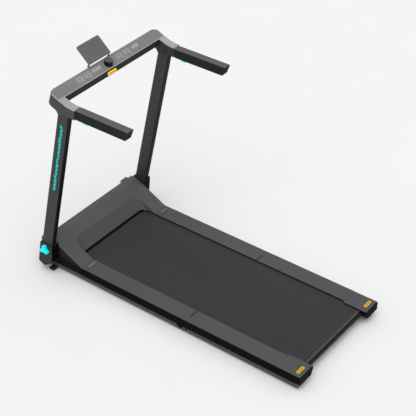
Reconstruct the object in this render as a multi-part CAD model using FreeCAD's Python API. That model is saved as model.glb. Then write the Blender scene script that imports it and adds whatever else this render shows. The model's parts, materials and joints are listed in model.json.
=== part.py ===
"""Folding treadmill: a walking deck in two hinged halves, a motor hood, and an upright with
a console and two folding grips.

Frame: +X is the user's right, +Y the way the user faces, +Z up. The shapes are drawn with Y
measured from the rear end of the deck and Z from the floor, and are moved at the end so that
the origin is on the floor, in the middle of the overall length. Millimetres throughout.
"""
import FreeCAD
import Part
import math
import os

V = FreeCAD.Vector

# ---- driving dimensions -------------------------------------------------------------
OVERALL_LENGTH = 1462.0
DECK_WIDTH = 620.0
RAIL_WIDTH = 85.4
RAIL_TOP = 78.0
RAIL_SKIRT = 35.0            # lower edge of the rail covers
FRAME_BOTTOM = 12.0
SEAM_Y = 604.0               # where the deck folds
SEAM_GAP = 0.4               # each half stops this far short of the seam
FOLD_AXIS_Z = RAIL_TOP + 0.3
HOOD_Y = 1212.0              # rear end of the hood
HOOD_FRONT_Y = 1440.0
BELT_TOP = 70.0
BELT_THICK = 1.8
BELT_HALF = 228.0
ROLLER_R = 20.0
ROLLER_Z = BELT_TOP - BELT_THICK - ROLLER_R
REAR_ROLLER_Y = 50.0
FRONT_ROLLER_Y = 1310.0
LEAN = 12.4                  # degrees that the posts lean towards the user
PIVOT_Y, PIVOT_Z = 1384.8, 139.0
POST_DEPTH, POST_THICK = 60.0, 30.0
POST_OUTER = 351.0           # |x| of the posts' outer faces
BAR_REAR_Y, BAR_REAR_Z = 1229.0, 992.0
BAR_TILT = 24.0              # slope of the console's top
BAR_TOP_LENGTH = 60.0
BAR_HALF = 314.5             # the console bar runs between the shoulders
ARM_INNER, ARM_OUTER = 315.0, 353.6
GRIP_TOP, GRIP_BOTTOM = 973.0, 926.0
GRIP_FRONT_Y, GRIP_REAR_Y = 1143.0, 855.0
GRIP_PIVOT_Y, GRIP_PIVOT_Z = 1131.0, 936.0
RUN_FIT = 0.06               # radial clearance of a shaft that turns

HALF = DECK_WIDTH / 2
RAIL_INNER = HALF - RAIL_WIDTH
FRAME_OUTER, FRAME_INNER, FRAME_TOP, FRAME_WALL = 306.0, 252.0, 60.0, 3.0
LIP_Z = BELT_TOP + 2.5       # underside of the covers where they overhang the belt
REAR_LIMIT_Y = SEAM_Y - SEAM_GAP
FRONT_LIMIT_Y = SEAM_Y + SEAM_GAP


# ---- helpers ------------------------------------------------------------------------
def box(x0, x1, y0, y1, z0, z1):
    return Part.makeBox(x1 - x0, y1 - y0, z1 - z0, V(x0, y0, z0))


def cyl_x(x0, x1, y, z, r):
    return Part.makeCylinder(r, x1 - x0, V(x0, y, z), V(1, 0, 0))


def cyl_y(y0, y1, x, z, r):
    return Part.makeCylinder(r, y1 - y0, V(x, y0, z), V(0, 1, 0))


def cyl_z(z0, z1, x, y, r):
    return Part.makeCylinder(r, z1 - z0, V(x, y, z0), V(0, 0, 1))


def rounded_wire(corners):
    """Closed wire through corners given as (point, radius); a radius of 0 stays sharp."""
    count = len(corners)
    spans = []
    for i, (point, radius) in enumerate(corners):
        before = (corners[i - 1][0] - point).normalize()
        after = (corners[(i + 1) % count][0] - point).normalize()
        if radius <= 0:
            spans.append((point, point, None))
            continue
        half_angle = before.getAngle(after) / 2
        reach = radius / math.tan(half_angle)
        middle = (before + after).normalize() * (radius / math.sin(half_angle) - radius)
        spans.append((point + before * reach, point + after * reach, point + middle))
    edges = []
    for i, (start, end, middle) in enumerate(spans):
        if middle is not None:
            edges.append(Part.Arc(start, middle, end).toShape())
        following = spans[(i + 1) % count][0]
        if end.distanceToPoint(following) > 1e-6:
            edges.append(Part.LineSegment(end, following).toShape())
    return Part.Wire(edges)


def prism_x(outline, x0, x1, radius=0.0):
    """Solid between x0 and x1 whose outline is (y, z) or (y, z, radius) points."""
    corners = [(V(x0, p[0], p[1]), p[2] if len(p) > 2 else radius) for p in outline]
    return Part.Face(rounded_wire(corners)).extrude(V(x1 - x0, 0, 0))


def prism_y(outline, y0, y1, radius=0.0):
    """Solid between y0 and y1 whose outline is (x, z) or (x, z, radius) points."""
    corners = [(V(p[0], y0, p[1]), p[2] if len(p) > 2 else radius) for p in outline]
    return Part.Face(rounded_wire(corners)).extrude(V(0, y1 - y0, 0))


def prism_z(outline, z0, z1, radius=0.0):
    """Solid between z0 and z1 whose outline is (x, y) or (x, y, radius) points."""
    corners = [(V(p[0], p[1], z0), p[2] if len(p) > 2 else radius) for p in outline]
    return Part.Face(rounded_wire(corners)).extrude(V(0, 0, z1 - z0))


def fuse(shapes):
    return shapes[0].multiFuse(shapes[1:]).removeSplitter()


def mirrored(shape):
    return shape.mirror(V(0, 0, 0), V(1, 0, 0))


def both_sides(shape):
    """The right-hand shape and its mirror image, as separate solids of one node."""
    return Part.makeCompound([shape, mirrored(shape)])


def group(shapes):
    return Part.makeCompound(shapes)


def softened(shape, radius, wanted):
    """Rounds the edges whose middle point satisfies wanted(point)."""
    edges = [e for e in shape.Edges if wanted(e.CenterOfMass)]
    return shape.makeFillet(radius, edges)


def tilted(shape, y, z, degrees):
    """Turns a shape about the X-parallel line through (y, z)."""
    turned = shape.copy()
    turned.rotate(V(0, y, z), V(1, 0, 0), degrees)
    return turned


def hex_prism_x(x0, x1, y, z, across):
    r = across / math.sqrt(3)
    points = [(y + r * math.cos(math.radians(60 * k)), z + r * math.sin(math.radians(60 * k)))
              for k in range(6)]
    return prism_x(points, x0, x1)


# ---- deck ---------------------------------------------------------------------------
def side_tube(y0, y1):
    """Rectangular steel tube along one side of the deck, open at the seam end."""
    outer = box(FRAME_INNER, FRAME_OUTER, y0, y1, FRAME_BOTTOM, FRAME_TOP)
    hollow = box(FRAME_INNER + FRAME_WALL, FRAME_OUTER - FRAME_WALL, y0 - 1, y1 + 1,
                 FRAME_BOTTOM + FRAME_WALL, FRAME_TOP - FRAME_WALL)
    return outer.cut(hollow)


def cross_member(y):
    """Channel that carries the deck board, open below, inside the belt's loop."""
    width, low, high, wall = 40.0, 30.0, 46.0, 3.0
    outer = box(-FRAME_INNER, FRAME_INNER, y - width / 2, y + width / 2, low, high)
    inner = box(-FRAME_INNER, FRAME_INNER, y - width / 2 + wall, y + width / 2 - wall,
                low - 1, high - wall)
    return outer.cut(inner)


def axle_saddle(y):
    """Block on the side tube's inner wall that holds a roller's axle end."""
    block = box(FRAME_INNER - 6, FRAME_INNER, y - 13, y + 13, 33, FRAME_TOP)
    block = block.cut(cyl_y(y - 14, y + 14, BOLT_X, ROLLER_Z, 3.3))
    return block.cut(cyl_x(FRAME_INNER - 7, FRAME_INNER + 1, y, ROLLER_Z, AXLE_R))


AXLE_R = 7.5
AXLE_HALF = FRAME_INNER - 0.2
CROSS_FRONT = (660.0, 905.0, 1150.0)
CROSS_REAR = (115.0, 345.0, 550.0)


def front_frame():
    tube_end = 1398.0
    tube = side_tube(SEAM_Y + 4, tube_end)
    lug = prism_x([(1364, 50), (1366, 154, 18), (1404, 154, 18), (1412, 62, 4), (1398, 50)],
                  300, FRAME_OUTER)
    lug = lug.cut(cyl_x(299, 307, PIVOT_Y, PIVOT_Z, BOLT_R))
    wheel_plates = [box(x, x + 4, tube_end - 2, 1436, 16, 56).cut(
        cyl_x(x - 1, x + 5, WHEEL_Y, WHEEL_Z, WHEEL_AXLE_R)) for x in (252, 302)]
    side = fuse([tube, lug, axle_saddle(FRONT_ROLLER_Y)] + wheel_plates)
    tray = box(-FRAME_INNER, FRAME_INNER, 1338, 1396, 16, 20)
    stiffener = box(-FRAME_INNER, FRAME_INNER, 1392, 1396, 20, 34)
    saddle = prism_x([(1350, 19), (1350, 60), (1418, 60), (1418, 30), (1396, 19)],
                     -146, -138)
    saddle = saddle.cut(cyl_x(-147, -137, MOTOR_Y, MOTOR_Z, MOTOR_R))
    saddle_far = saddle.copy()
    saddle_far.translate(V(160, 0, 0))
    return fuse([side, mirrored(side), tray, stiffener, saddle, saddle_far]
                + [cross_member(y) for y in CROSS_FRONT])


def rear_frame():
    tube = side_tube(12, SEAM_Y - 4)
    closing = box(FRAME_INNER, FRAME_OUTER, 12, 15, FRAME_BOTTOM, FRAME_TOP)
    ear = box(238, FRAME_INNER, 13, 15, 38, FRAME_TOP)
    ear = ear.cut(cyl_y(12, 16, BOLT_X, ROLLER_Z, 3.3))
    side = fuse([tube, closing, ear, axle_saddle(REAR_ROLLER_Y)])
    return fuse([side, mirrored(side)] + [cross_member(y) for y in CROSS_REAR])


def deck_board(y0, y1):
    """Laminated board under the belt, with its rear and front edges eased."""
    return prism_x([(y0, 50, 2), (y0, 68, 6), (y1, 68, 0.5), (y1, 50, 0.5)], -246, 246)


def cushions(rows):
    pads = [box(x - 14, x + 14, y - 14, y + 14, 46, 50) for y in rows
            for x in (-205, -70, 70, 205)]
    return group([softened(pad, 2, lambda p: 46.5 < p.z < 49.5) for pad in pads])


def rail_cover(y0, y1, skirt_tab=None):
    """Right-hand rail cover: a flat tread, an outer skirt and a short inner lip."""
    wall = 3.4
    outline = [(HALF, RAIL_SKIRT, 0.8), (HALF, RAIL_TOP, 2.5), (RAIL_INNER, RAIL_TOP, 2.0),
               (RAIL_INNER, LIP_Z, 0.6), (RAIL_INNER + wall, LIP_Z, 0.6),
               (RAIL_INNER + wall, RAIL_TOP - wall, 1.0), (HALF - wall, RAIL_TOP - wall, 1.0),
               (HALF - wall, RAIL_SKIRT, 0.8)]
    cover = prism_y(outline, y0, y1)
    ribs = [box(FRAME_INNER + 4, HALF - wall, y - 1.5, y + 1.5, FRAME_TOP, RAIL_TOP - wall + 0.1)
            for y in (y0 + 40, (y0 + y1) / 2, y1 - 40)]
    cover = fuse([cover] + ribs)
    if skirt_tab:
        low, high = skirt_tab
        tab = prism_x([(low, 22, 6), (high, 22, 6), (high + 13, RAIL_SKIRT + 2),
                       (low - 13, RAIL_SKIRT + 2)], HALF - wall, HALF)
        cover = fuse([cover, tab])
    return cover


def hinge_notch():
    """Room around the fold hinge's knuckles."""
    return cyl_x(HINGE_X0 - 0.5, HINGE_X0 + 5 * KNUCKLE + 0.5, SEAM_Y, FOLD_AXIS_Z,
                 KNUCKLE_R + 0.6)


HINGE_X0, KNUCKLE, KNUCKLE_R, HINGE_PIN_R = 231.0, 8.0, 4.0, 2.2


def hinge_leaf(front):
    """One leaf of the right-hand fold hinge: a plate on the tube's end and its knuckles."""
    sign = 1 if front else -1
    y_near, y_far = sorted((SEAM_Y + sign * 0.4, SEAM_Y + sign * 4.0))
    web_near, web_far = sorted((SEAM_Y + sign * 0.4, SEAM_Y + sign * 2.4))
    plate = box(250, 292, y_near, y_far, 32, 72.8)
    strip = box(HINGE_X0 - 1, 292, y_near, y_far, 69.5, 72.8)
    parts = [plate, strip]
    slots = (0, 2, 4) if front else (1, 3)
    bore = HINGE_PIN_R if front else HINGE_PIN_R + RUN_FIT
    bores = []
    for k in slots:
        x0 = HINGE_X0 + k * KNUCKLE + 0.15
        x1 = HINGE_X0 + (k + 1) * KNUCKLE - 0.15
        parts.append(cyl_x(x0, x1, SEAM_Y, FOLD_AXIS_Z, KNUCKLE_R))
        parts.append(box(x0, x1, web_near, web_far, 72, FOLD_AXIS_Z))
        bores.append(cyl_x(x0 - 1, x1 + 1, SEAM_Y, FOLD_AXIS_Z, bore))
    leaf = fuse(parts)
    for hole in bores:
        leaf = leaf.cut(hole)
    return leaf


def hinge_pin():
    return cyl_x(HINGE_X0, HINGE_X0 + 5 * KNUCKLE, SEAM_Y, FOLD_AXIS_Z, HINGE_PIN_R)


def fold_bumper():
    """Rubber rest across the rail on which the folded rear half lies."""
    bar = prism_x([(1178, RAIL_TOP, 0), (1178, RAIL_TOP + 8, 3), (1191, RAIL_TOP + 8, 3),
                   (1191, RAIL_TOP, 0)], 241, 288)
    return softened(bar, 2, lambda p: (p.x < 241.1 or p.x > 287.9) and p.z > RAIL_TOP + 1)


def end_cap():
    """Right-hand rear end cap: closes the rail and wraps the roller's end."""
    inner = RAIL_INNER - 11.6
    rear = prism_y([(HALF, RAIL_SKIRT, 5), (HALF, RAIL_TOP, 4), (inner, RAIL_TOP, 3),
                    (inner, 62, 3), (inner + 12, RAIL_SKIRT, 5)], 0, 24)
    tread = prism_y([(HALF, RAIL_TOP - 12), (HALF, RAIL_TOP, 4), (inner, RAIL_TOP, 3),
                     (inner, LIP_Z, 0.6), (HALF - 3.4, LIP_Z, 0.6),
                     (HALF - 3.4, RAIL_TOP - 12)], 20, 120)
    skirt = box(HALF - 3.4, HALF, 20, 120, RAIL_SKIRT, RAIL_TOP - 10)
    cap = fuse([rear, tread, skirt])
    cap = cap.cut(box(236, FRAME_OUTER + 0.6, 4, 25, FRAME_BOTTOM, FRAME_TOP + 0.5))
    cap = cap.cut(cyl_y(-1, 5, BOLT_X, ROLLER_Z, 7))
    bevel = prism_x([(-1, RAIL_TOP - 5), (5, RAIL_TOP + 1), (-1, RAIL_TOP + 1)], inner - 1,
                    HALF + 1)
    return cap.cut(bevel)


BOLT_X = 244.0


def tension_bolt():
    """Belt tension bolt: a socket head behind the cap and a shank into the axle's end."""
    head = cyl_y(5, 13, BOLT_X, ROLLER_Z, 5.5).cut(cyl_y(4, 9, BOLT_X, ROLLER_Z, 2.8))
    return fuse([head, cyl_y(13, REAR_ROLLER_Y - AXLE_R, BOLT_X, ROLLER_Z, 3)])


def roller(y):
    """Steel drum with a bore for its fixed axle and a bearing seat in each end."""
    half = BELT_HALF + 1
    drum = cyl_x(-half, half, y, ROLLER_Z, ROLLER_R)
    drum = drum.cut(cyl_x(-half - 1, half + 1, y, ROLLER_Z, AXLE_R + 3))
    for x0, x1 in ((-half - 1, -half + 12), (half - 12, half + 1)):
        drum = drum.cut(cyl_x(x0, x1, y, ROLLER_Z, BEARING_R))
    return drum


BEARING_R = 15.0


def bearing_pair(y):
    half = BELT_HALF + 1
    ring = cyl_x(half - 12, half - 1, y, ROLLER_Z, BEARING_R)
    ring = ring.cut(cyl_x(half - 13, half, y, ROLLER_Z, AXLE_R + RUN_FIT))
    return both_sides(ring)


def axle(y):
    return cyl_x(-AXLE_HALF, AXLE_HALF, y, ROLLER_Z, AXLE_R)


def belt_half(roller_y, seam_y):
    """Half of the running belt: two flat runs joined round one roller."""
    r_in = ROLLER_R + 0.3
    r_out = BELT_TOP - ROLLER_Z
    low, high = sorted((roller_y, seam_y))
    upper = box(-BELT_HALF, BELT_HALF, low, high, ROLLER_Z + r_in, ROLLER_Z + r_out)
    lower = box(-BELT_HALF, BELT_HALF, low, high, ROLLER_Z - r_out, ROLLER_Z - r_in)
    ring = cyl_x(-BELT_HALF, BELT_HALF, roller_y, ROLLER_Z, r_out)
    ring = ring.cut(cyl_x(-BELT_HALF - 1, BELT_HALF + 1, roller_y, ROLLER_Z, r_in))
    away = -1 if seam_y > roller_y else 1
    y0, y1 = sorted((roller_y, roller_y + away * 40))
    ring = ring.common(box(-BELT_HALF, BELT_HALF, y0, y1, 0, 100))
    return fuse([upper, lower, ring])


def foot(x0, x1, y0, y1):
    pad = box(x0, x1, y0, y1, 0, FRAME_BOTTOM)
    return softened(pad, 3, lambda p: 1 < p.z < FRAME_BOTTOM - 1 or p.z < 0.01)


# ---- drive --------------------------------------------------------------------------
MOTOR_Y, MOTOR_Z, MOTOR_R = 1384.0, 74.0, 36.0
SHAFT_R = 5.0
ROLLER_PULLEY_R, MOTOR_PULLEY_R = 27.0, 12.0
PULLEY_X0, PULLEY_X1 = 231.0, 243.0
BOLT_R = 6.0
WHEEL_Y, WHEEL_Z, WHEEL_R, WHEEL_AXLE_R = 1428.0, 30.0, 27.0, 4.0


def grooved_pulley(y, z, r, bore):
    """Ribbed pulley with a flange on each side of five V grooves."""
    points = [(PULLEY_X0, bore), (PULLEY_X0, r)]
    step = (PULLEY_X1 - PULLEY_X0 - 2) / 5
    for k in range(5):
        x = PULLEY_X0 + 1 + k * step
        points += [(x, r), (x + step / 2, r - 1.5)]
    points += [(PULLEY_X1 - 1, r), (PULLEY_X1, r), (PULLEY_X1, bore)]
    wire = Part.makePolygon([V(x, y + d, z) for x, d in points + points[:1]])
    return Part.Face(wire).revolve(V(0, y, z), V(1, 0, 0), 360)


def drive_belt():
    """Ribbed belt from the motor's pulley to the front roller's pulley."""
    inner = belt_loop(0.3)
    outer = belt_loop(1.8)
    return outer.cut(inner)


def belt_loop(grow):
    """Solid hull of the two pulley circles, grown outwards."""
    dy, dz = MOTOR_Y - FRONT_ROLLER_Y, MOTOR_Z - ROLLER_Z
    span = math.hypot(dy, dz)
    along = math.atan2(dz, dy)
    big, small = ROLLER_PULLEY_R + grow, MOTOR_PULLEY_R + grow
    lean_in = math.acos((big - small) / span)
    x0, x1 = PULLEY_X0 + 0.5, PULLEY_X1 - 0.5

    def rim(y, z, r, angle):
        return V(x0, y + r * math.cos(angle), z + r * math.sin(angle))
    a = rim(FRONT_ROLLER_Y, ROLLER_Z, big, along + lean_in)
    b = rim(MOTOR_Y, MOTOR_Z, small, along + lean_in)
    c = rim(MOTOR_Y, MOTOR_Z, small, along - lean_in)
    d = rim(FRONT_ROLLER_Y, ROLLER_Z, big, along - lean_in)
    nose = rim(MOTOR_Y, MOTOR_Z, small, along)
    tail = rim(FRONT_ROLLER_Y, ROLLER_Z, big, along + math.pi)
    wire = Part.Wire([Part.LineSegment(a, b).toShape(), Part.Arc(b, nose, c).toShape(),
                      Part.LineSegment(c, d).toShape(), Part.Arc(d, tail, a).toShape()])
    return Part.Face(wire).extrude(V(x1 - x0, 0, 0))


def motor_can():
    """Closed motor body with its end bells and cooling fins, bored for the shaft."""
    x0, x1 = -152.0, 40.0
    can = cyl_x(x0, x1, MOTOR_Y, MOTOR_Z, MOTOR_R)
    fins = [cyl_x(x, x + 2, MOTOR_Y, MOTOR_Z, MOTOR_R + 2) for x in range(-120, 0, 8)]
    body = fuse([can] + fins)
    return body.cut(cyl_x(x1 - 60, x1 + 1, MOTOR_Y, MOTOR_Z, SHAFT_R + RUN_FIT))


def flywheel():
    disc = cyl_x(60, 76, MOTOR_Y, MOTOR_Z, 34).cut(cyl_x(59, 77, MOTOR_Y, MOTOR_Z, SHAFT_R))
    for k in range(6):
        a = math.radians(60 * k)
        disc = disc.cut(cyl_x(59, 77, MOTOR_Y + 20 * math.cos(a), MOTOR_Z + 20 * math.sin(a), 6))
    return disc


def motor_shaft():
    return cyl_x(-15, PULLEY_X1 + 3, MOTOR_Y, MOTOR_Z, SHAFT_R)


def controller():
    """Motor controller: a board with a finned heat sink and its capacitors."""
    board = box(-240, -166, 1342, 1391, 22, 25)
    sink = box(-238, -200, 1346, 1388, 25, 30)
    fins = [box(-238, -200, y, y + 2, 29, 58) for y in range(1347, 1388, 6)]
    caps = [cyl_z(24, 52, -184, y, 8) for y in (1356, 1378)]
    return fuse([board, sink] + fins + caps)


# ---- hood ---------------------------------------------------------------------------
def scoop(margin):
    """Space over the belt that the hood slopes up from, with rounded corners."""
    low_z, high_z = LIP_Z, 200.0
    rise = (high_z - low_z) / (136.0 - low_z)

    def ring(z, half, front, radius):
        half, front = half + margin, front + margin
        return rounded_wire([(V(-half, 1150, z), 0), (V(half, 1150, z), 0),
                             (V(half, front, z), radius), (V(-half, front, z), radius)])
    low = ring(low_z, RAIL_INNER, 1276, 38)
    high = ring(high_z, RAIL_INNER + 7 * rise, 1276 + 53 * rise, 48)
    return Part.makeLoft([low, high], True, True)


def hood_outline(inset):
    """Side outline of the hood, from the rail's level up to the crest and down the front."""
    n = inset
    return [(HOOD_Y + n, 36 - n), (HOOD_Y + n, RAIL_TOP + 0.2 - n, 1),
            (1340, 143 - 1.1 * n, 40), (1392, 166 - n, 30),
            (HOOD_FRONT_Y - 15 - n, 168.5 - n, 9), (HOOD_FRONT_Y - n, 140, 24),
            (HOOD_FRONT_Y - n, 36 - n)]


def hood():
    """Motor hood: a thin shell that is open below, with side arms beside the belt."""
    wall = 3.0
    shell = prism_x(hood_outline(0), -HALF, HALF)
    shell = softened(shell, 5, lambda p: abs(abs(p.x) - HALF) < 0.01 and p.z > RAIL_TOP + 3
                     and p.y < HOOD_FRONT_Y - 0.5)
    shell = shell.cut(scoop(0))
    core = prism_x(hood_outline(wall), -HALF + wall, HALF - wall)
    core = core.cut(scoop(wall))
    shell = shell.cut(core)
    shell = shell.cut(box(-FRAME_OUTER - 0.5, FRAME_OUTER + 0.5, HOOD_Y - 1, HOOD_Y + 4, 30,
                          LIP_Z))
    for x in (-HALF - 1, HALF - wall - 1):
        shell = shell.cut(cyl_x(x, x + wall + 2, PIVOT_Y, PIVOT_Z, BOLT_R + 2))
    for x in (-303, 255):
        shell = shell.cut(box(x, x + 48, HOOD_FRONT_Y - 5, HOOD_FRONT_Y + 1, 30, 66))
    shell = shell.cut(box(-226, -194, HOOD_FRONT_Y - 5, HOOD_FRONT_Y + 1, 60, 84))
    shell = shell.cut(box(-178, -156, HOOD_FRONT_Y - 5, HOOD_FRONT_Y + 1, 57, 87))
    for x, y, z in HOOD_SCREWS:
        shell = shell.cut(cyl_y(y - 6, y + 2, x, z, 2.2))
    return shell


HOOD_SCREWS = [(x, HOOD_FRONT_Y, 52.0) for x in (-120.0, 0.0, 120.0)]


def hood_screw(x, y, z):
    head = Part.makeSphere(4.4, V(x, y - 2.2, z)).common(cyl_y(y, y + 4, x, z, 6))
    return fuse([head, cyl_y(y - 12, y + 0.1, x, z, 2.1)])


def wheel_fender():
    """Rounded guard in front of a transport wheel, closed on top and open below."""
    y0, y1 = HOOD_FRONT_Y + 0.2, OVERALL_LENGTH
    x0, x1 = 262, 306
    outer = prism_x([(y0, 62), (y0, 150), (y1 - 3, 152, 10), (y1, 62, 3)], x0, x1)
    inner = prism_x([(y0 - 1, 58), (y0 - 1, 146), (y1 - 6, 148, 8), (y1 - 3, 58)], x0 + 3, x1 - 3)
    return softened(outer, 5, lambda p: p.y > y0 + 3 and (p.x < x0 + 0.1 or p.x > x1 - 0.1)
                    and p.z > 66).cut(inner)


def transport_wheel():
    tyre = cyl_x(265, 297, WHEEL_Y, WHEEL_Z, WHEEL_R)
    tyre = softened(tyre, 4, lambda p: p.x < 265.1 or p.x > 296.9)
    recess = cyl_x(264, 268, WHEEL_Y, WHEEL_Z, 18).fuse(cyl_x(294, 298, WHEEL_Y, WHEEL_Z, 18))
    return tyre.cut(recess).cut(cyl_x(264, 298, WHEEL_Y, WHEEL_Z, WHEEL_AXLE_R + RUN_FIT))


def wheel_axle():
    head = cyl_x(306, 307, WHEEL_Y, WHEEL_Z, 7)
    return fuse([cyl_x(252, 306.5, WHEEL_Y, WHEEL_Z, WHEEL_AXLE_R), head])


def power_inlet():
    """Mains inlet: a block through the hood's front with a recess and three blades."""
    block = box(-225.5, -194.5, 1404, HOOD_FRONT_Y + 1.5, 60.5, 83.5)
    flange = box(-233, -187, HOOD_FRONT_Y, HOOD_FRONT_Y + 2, 57, 87)
    body = fuse([block, flange])
    body = body.cut(box(-222, -198, 1420, HOOD_FRONT_Y + 3, 64, 80))
    blades = [box(x - 1, x + 1, 1418, 1436, z - 3, z + 3)
              for x, z in ((-217, 70), (-210, 75), (-203, 70))]
    return fuse([body] + blades)


def switch_frame():
    """Fixed frame of the rocker switch."""
    block = box(-177.5, -156.5, 1414, HOOD_FRONT_Y + 1.5, 57.5, 86.5)
    flange = box(-180, -154, HOOD_FRONT_Y, HOOD_FRONT_Y + 2, 55, 89)
    frame = fuse([block, flange]).cut(box(-175, -159, 1418, HOOD_FRONT_Y + 3, 60, 84))
    return frame.cut(cyl_x(-176.4, -157.6, ROCKER_Y, ROCKER_Z, 1.5 + RUN_FIT))


ROCKER_Y, ROCKER_Z = HOOD_FRONT_Y - 5.0, 72.0


def rocker():
    """Rocker of the power switch, pressed in at its lower end at rest."""
    lens = prism_x([(1428, 64), (1428, 80), (HOOD_FRONT_Y + 2.5, 82, 1), (HOOD_FRONT_Y + 1.2, 72),
                    (HOOD_FRONT_Y - 0.8, 62, 1)], -174, -160)
    return fuse([lens, cyl_x(-176.2, -157.8, ROCKER_Y, ROCKER_Z, 1.5)])


# ---- upright ------------------------------------------------------------------------
POST_LENGTH = 820.5
POST_FOOT = 50.0
BOOT_TOP = 167.5


def post():
    """Right-hand post: a rectangular tube that leans towards the user."""
    y0, y1 = PIVOT_Y - POST_DEPTH / 2, PIVOT_Y + POST_DEPTH / 2
    x0 = POST_OUTER - POST_THICK
    outline = [(x0, y0, 5), (POST_OUTER, y0, 5), (POST_OUTER, y1, 5), (x0, y1, 5)]
    wall = 2.5
    bore = [(x0 + wall, y0 + wall, 3), (POST_OUTER - wall, y0 + wall, 3),
            (POST_OUTER - wall, y1 - wall, 3), (x0 + wall, y1 - wall, 3)]
    low, high = PIVOT_Z - POST_FOOT, PIVOT_Z + POST_LENGTH
    tube = prism_z(outline, low, high).cut(prism_z(bore, low - 1, high + 1))
    tube = tube.cut(cyl_x(x0 - 1, POST_OUTER + 1, PIVOT_Y, PIVOT_Z, BOLT_R + RUN_FIT))
    return tilted(tube, PIVOT_Y, PIVOT_Z, LEAN)


def boot():
    """Moulded boot round the foot of a post, with a collar at its top."""
    shell = prism_x([(1342.5, BOOT_TOP), (1350, 84, 10), (1375, 50, 12), (1404, 33, 10),
                     (1437, 50, 8), (1416, BOOT_TOP)], 312, 357.5)
    shell = softened(shell, 3, lambda p: p.x > 357.4 and p.z < BOOT_TOP - 1)
    gap = 0.1
    cavity = prism_z([(POST_OUTER - POST_THICK - gap, PIVOT_Y - POST_DEPTH / 2 - gap, 5),
                      (POST_OUTER + gap, PIVOT_Y - POST_DEPTH / 2 - gap, 5),
                      (POST_OUTER + gap, PIVOT_Y + POST_DEPTH / 2 + gap, 5),
                      (POST_OUTER - POST_THICK - gap, PIVOT_Y + POST_DEPTH / 2 + gap, 5)],
                     PIVOT_Z - POST_FOOT - 1, PIVOT_Z + 90)
    shell = shell.cut(tilted(cavity, PIVOT_Y, PIVOT_Z, LEAN))
    return shell.cut(cyl_x(311, 359, PIVOT_Y, PIVOT_Z, BOLT_R + RUN_FIT))


def pivot_bolt():
    """Bolt that a post turns on: head inside the hood, threaded end in the lock knob."""
    head = hex_prism_x(292, 300, PIVOT_Y, PIVOT_Z, 19)
    return fuse([head, cyl_x(300, 370, PIVOT_Y, PIVOT_Z, BOLT_R)])


def lock_knob():
    """Three-lobed hand knob on the outer end of the pivot bolt."""
    x0, x1, lobe, waist = 358.3, 373.0, 26.0, 12.0
    outline = []
    for k in range(3):
        for turn, reach in ((-20, lobe), (20, lobe), (60, waist)):
            a = math.radians(90 + 120 * k + turn)
            outline.append((PIVOT_Y + reach * math.cos(a), PIVOT_Z + reach * math.sin(a), 7.5))
    knob = softened(prism_x(outline, x0, x1), 2.5, lambda p: p.x > x1 - 0.01)
    return knob.cut(cyl_x(x0 - 1, 370.2, PIVOT_Y, PIVOT_Z, BOLT_R + RUN_FIT))


SLOPE = V(0, math.cos(math.radians(BAR_TILT)), math.sin(math.radians(BAR_TILT)))
BAR_FRONT_Y = BAR_REAR_Y + BAR_TOP_LENGTH * SLOPE.y
BAR_FRONT_Z = BAR_REAR_Z + BAR_TOP_LENGTH * SLOPE.z
TRIM = 4.0                   # height of the light trim on the arms
PANEL_THICK = 3.5            # thickness of the display panel and the rear trim line
CORNER_R = 26.0              # plan radius of the console's front corners


def arm_top(drop):
    """Top line of an arm, from the console's front edge down to the grip."""
    return [(BAR_FRONT_Y, BAR_FRONT_Z - drop, 0), (BAR_REAR_Y, BAR_REAR_Z - drop, 60),
            (1190, 978 - drop, 60), (1160, 974.5 - drop, 60), (GRIP_FRONT_Y + 0.6, 974 - drop, 0)]


def shoulder_outline(drop):
    """Side outline of a shoulder: arm on top, nose at the front, post socket below."""
    return arm_top(drop) + [
        (GRIP_FRONT_Y + 0.6, 926, 2), (1186, 925.5, 20), (1238, 918, 3), (1248, 936, 14),
        (1272, 947, 12), (1297, 959, 6), (BAR_FRONT_Y + 14, 972, 6)]


def shoulder_core():
    """Cast bracket that joins a post, the console bar and a grip's hinge lug."""
    core = prism_x(shoulder_outline(TRIM), ARM_INNER, POST_OUTER + 0.2)
    y0, y1 = PIVOT_Y - POST_DEPTH / 2, PIVOT_Y + POST_DEPTH / 2
    socket = box(POST_OUTER - POST_THICK, POST_OUTER + 1, y0, y1, PIVOT_Z + 700,
                 PIVOT_Z + POST_LENGTH)
    core = core.cut(tilted(socket, PIVOT_Y, PIVOT_Z, LEAN))
    front_face = 1122.0
    lug = prism_x([(1160, GRIP_PIVOT_Z - 9), (front_face, GRIP_PIVOT_Z - 9, 8.9),
                   (front_face, GRIP_PIVOT_Z + 9, 8.9), (1150, GRIP_PIVOT_Z + 30),
                   (1160, GRIP_PIVOT_Z + 30)], LUG_X0, LUG_X1)
    core = fuse([core, lug])
    joint_line = box(ARM_INNER - 1, ARM_INNER + 2, 1197.5, 1200.5, 938, 967)
    bolt_seat = cyl_x(ARM_INNER - 1, ARM_INNER + 1.5, 1192, 940, 6)
    core = core.cut(joint_line).cut(bolt_seat.cut(cyl_x(310, 320, 1192, 940, 3.5)))
    core = core.cut(corner_cutter(0))
    return core.cut(cyl_x(LUG_X0 - 1, LUG_X1 + 1, GRIP_PIVOT_Y, GRIP_PIVOT_Z, GRIP_PIN_R))


LUG_X0, LUG_X1, GRIP_PIN_R = 324.0, 338.0, 4.0


def shoulder_cover():
    """Outer cover of a shoulder."""
    cover = prism_x(shoulder_outline(TRIM), POST_OUTER + 0.3, ARM_OUTER)
    return cover.cut(corner_cutter(0))


def slope_plate(start, end, x0, x1, thick, lift=0.0):
    """Plate lying on the console's sloping top, between two distances up the slope."""
    base = box(x0, x1, BAR_REAR_Y + start, BAR_REAR_Y + end, BAR_REAR_Z - thick + lift,
               BAR_REAR_Z + lift)
    return tilted(base, BAR_REAR_Y, BAR_REAR_Z, BAR_TILT)


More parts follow.
